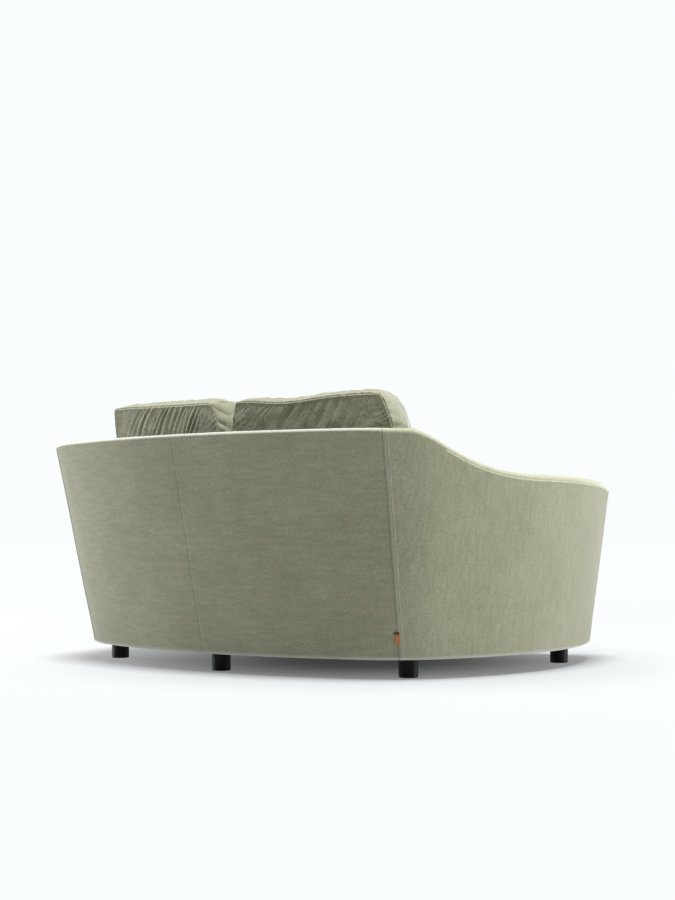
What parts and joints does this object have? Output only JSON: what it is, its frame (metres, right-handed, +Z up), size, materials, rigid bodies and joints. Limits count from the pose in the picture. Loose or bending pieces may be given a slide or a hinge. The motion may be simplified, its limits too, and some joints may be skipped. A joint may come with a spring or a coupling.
{
  "type": "curved sofa",
  "caption": "Curved two-seat sofa with a wrap-around upholstered back and arms, loose seat and back cushions and short round legs.",
  "frame": {"origin": "on the floor, under the middle of the whole sofa's bounding box", "axes": "+Z up, +Y towards the back, -Y towards the open front where people sit down, +X to the right as seen from the front"},
  "size_m": [1.8166, 1.403, 0.8846],
  "materials": {
    "velvet": "short-pile sage green velvet",
    "cushion_velvet": "short-pile sage green velvet",
    "plywood": "sanded birch plywood",
    "timber": "planed softwood",
    "hardboard": "plain hardboard",
    "deck_cloth": "woven black platform cloth",
    "dust_cloth": "non-woven black cloth",
    "spring_steel": "plain drawn wire",
    "zinc": "zinc plated",
    "black_wood": "black stain with a satin lacquer",
    "tan_leather": "plain tan leather"
  },
  "bodies": {
    "frame": {"back_panel_left": "velvet", "back_panel_right": "velvet", "base_plate_back": "plywood", "base_plate_front": "plywood", "base_plate_left": "plywood", "base_plate_right": "plywood", "bearer_centre": "timber", "bolt_front_centre": "zinc", "bolt_front_left": "zinc", "bolt_front_right": "zinc", "bolt_rear_centre": "zinc", "bolt_rear_left": "zinc", "bolt_rear_right": "zinc", "deck_cloth": "deck_cloth", "dust_cover": "dust_cloth", "front_board": "plywood", "front_border": "velvet", "inner_arm_pad_left": "velvet", "inner_arm_pad_right": "velvet", "inner_back_pad_left": "velvet", "inner_back_pad_right": "velvet", "leather_tab": "tan_leather", "leg_front_centre": "black_wood", "leg_front_left": "black_wood", "leg_front_right": "black_wood", "leg_rear_centre": "black_wood", "leg_rear_left": "black_wood", "leg_rear_right": "black_wood", "post_arm_front_left": "timber", "post_arm_front_right": "timber", "post_back_centre": "timber", "post_back_left": "timber", "post_back_right": "timber", "post_corner_left": "timber", "post_corner_right": "timber", "shell_board_back": "hardboard", "shell_board_left": "hardboard", "shell_board_right": "hardboard", "side_panel_left": "velvet", "side_panel_right": "velvet", "spring_a_left": "spring_steel", "spring_a_right": "spring_steel", "spring_b_left": "spring_steel", "spring_b_right": "spring_steel", "spring_c_left": "spring_steel", "spring_c_right": "spring_steel", "spring_d_left": "spring_steel", "spring_d_right": "spring_steel", "spring_rail_back": "timber", "spring_rail_front": "timber", "top_rail_back": "plywood", "top_rail_left": "plywood", "top_rail_right": "plywood", "top_roll_back": "velvet", "top_roll_left": "velvet", "top_roll_right": "velvet"},
    "seat_cushion_left": {"seat_cushion_left": "cushion_velvet"},
    "back_cushion_left": {"back_cushion_left": "cushion_velvet"},
    "seat_cushion_right": {"seat_cushion_right": "cushion_velvet"},
    "back_cushion_right": {"back_cushion_right": "cushion_velvet"}
  },
  "joints": [
    {"name": "lift_seat_cushion_left", "type": "slide", "parent": "frame", "child": "seat_cushion_left", "axis": [0, 0, 1], "range_m": [0, 0.52]},
    {"name": "lift_back_cushion_left", "type": "slide", "parent": "seat_cushion_left", "child": "back_cushion_left", "axis": [0, 0, 1], "range_m": [0, 0.32]},
    {"name": "lift_seat_cushion_right", "type": "slide", "parent": "frame", "child": "seat_cushion_right", "axis": [0, 0, 1], "range_m": [0, 0.52]},
    {"name": "lift_back_cushion_right", "type": "slide", "parent": "seat_cushion_right", "child": "back_cushion_right", "axis": [0, 0, 1], "range_m": [0, 0.32]}
  ]
}
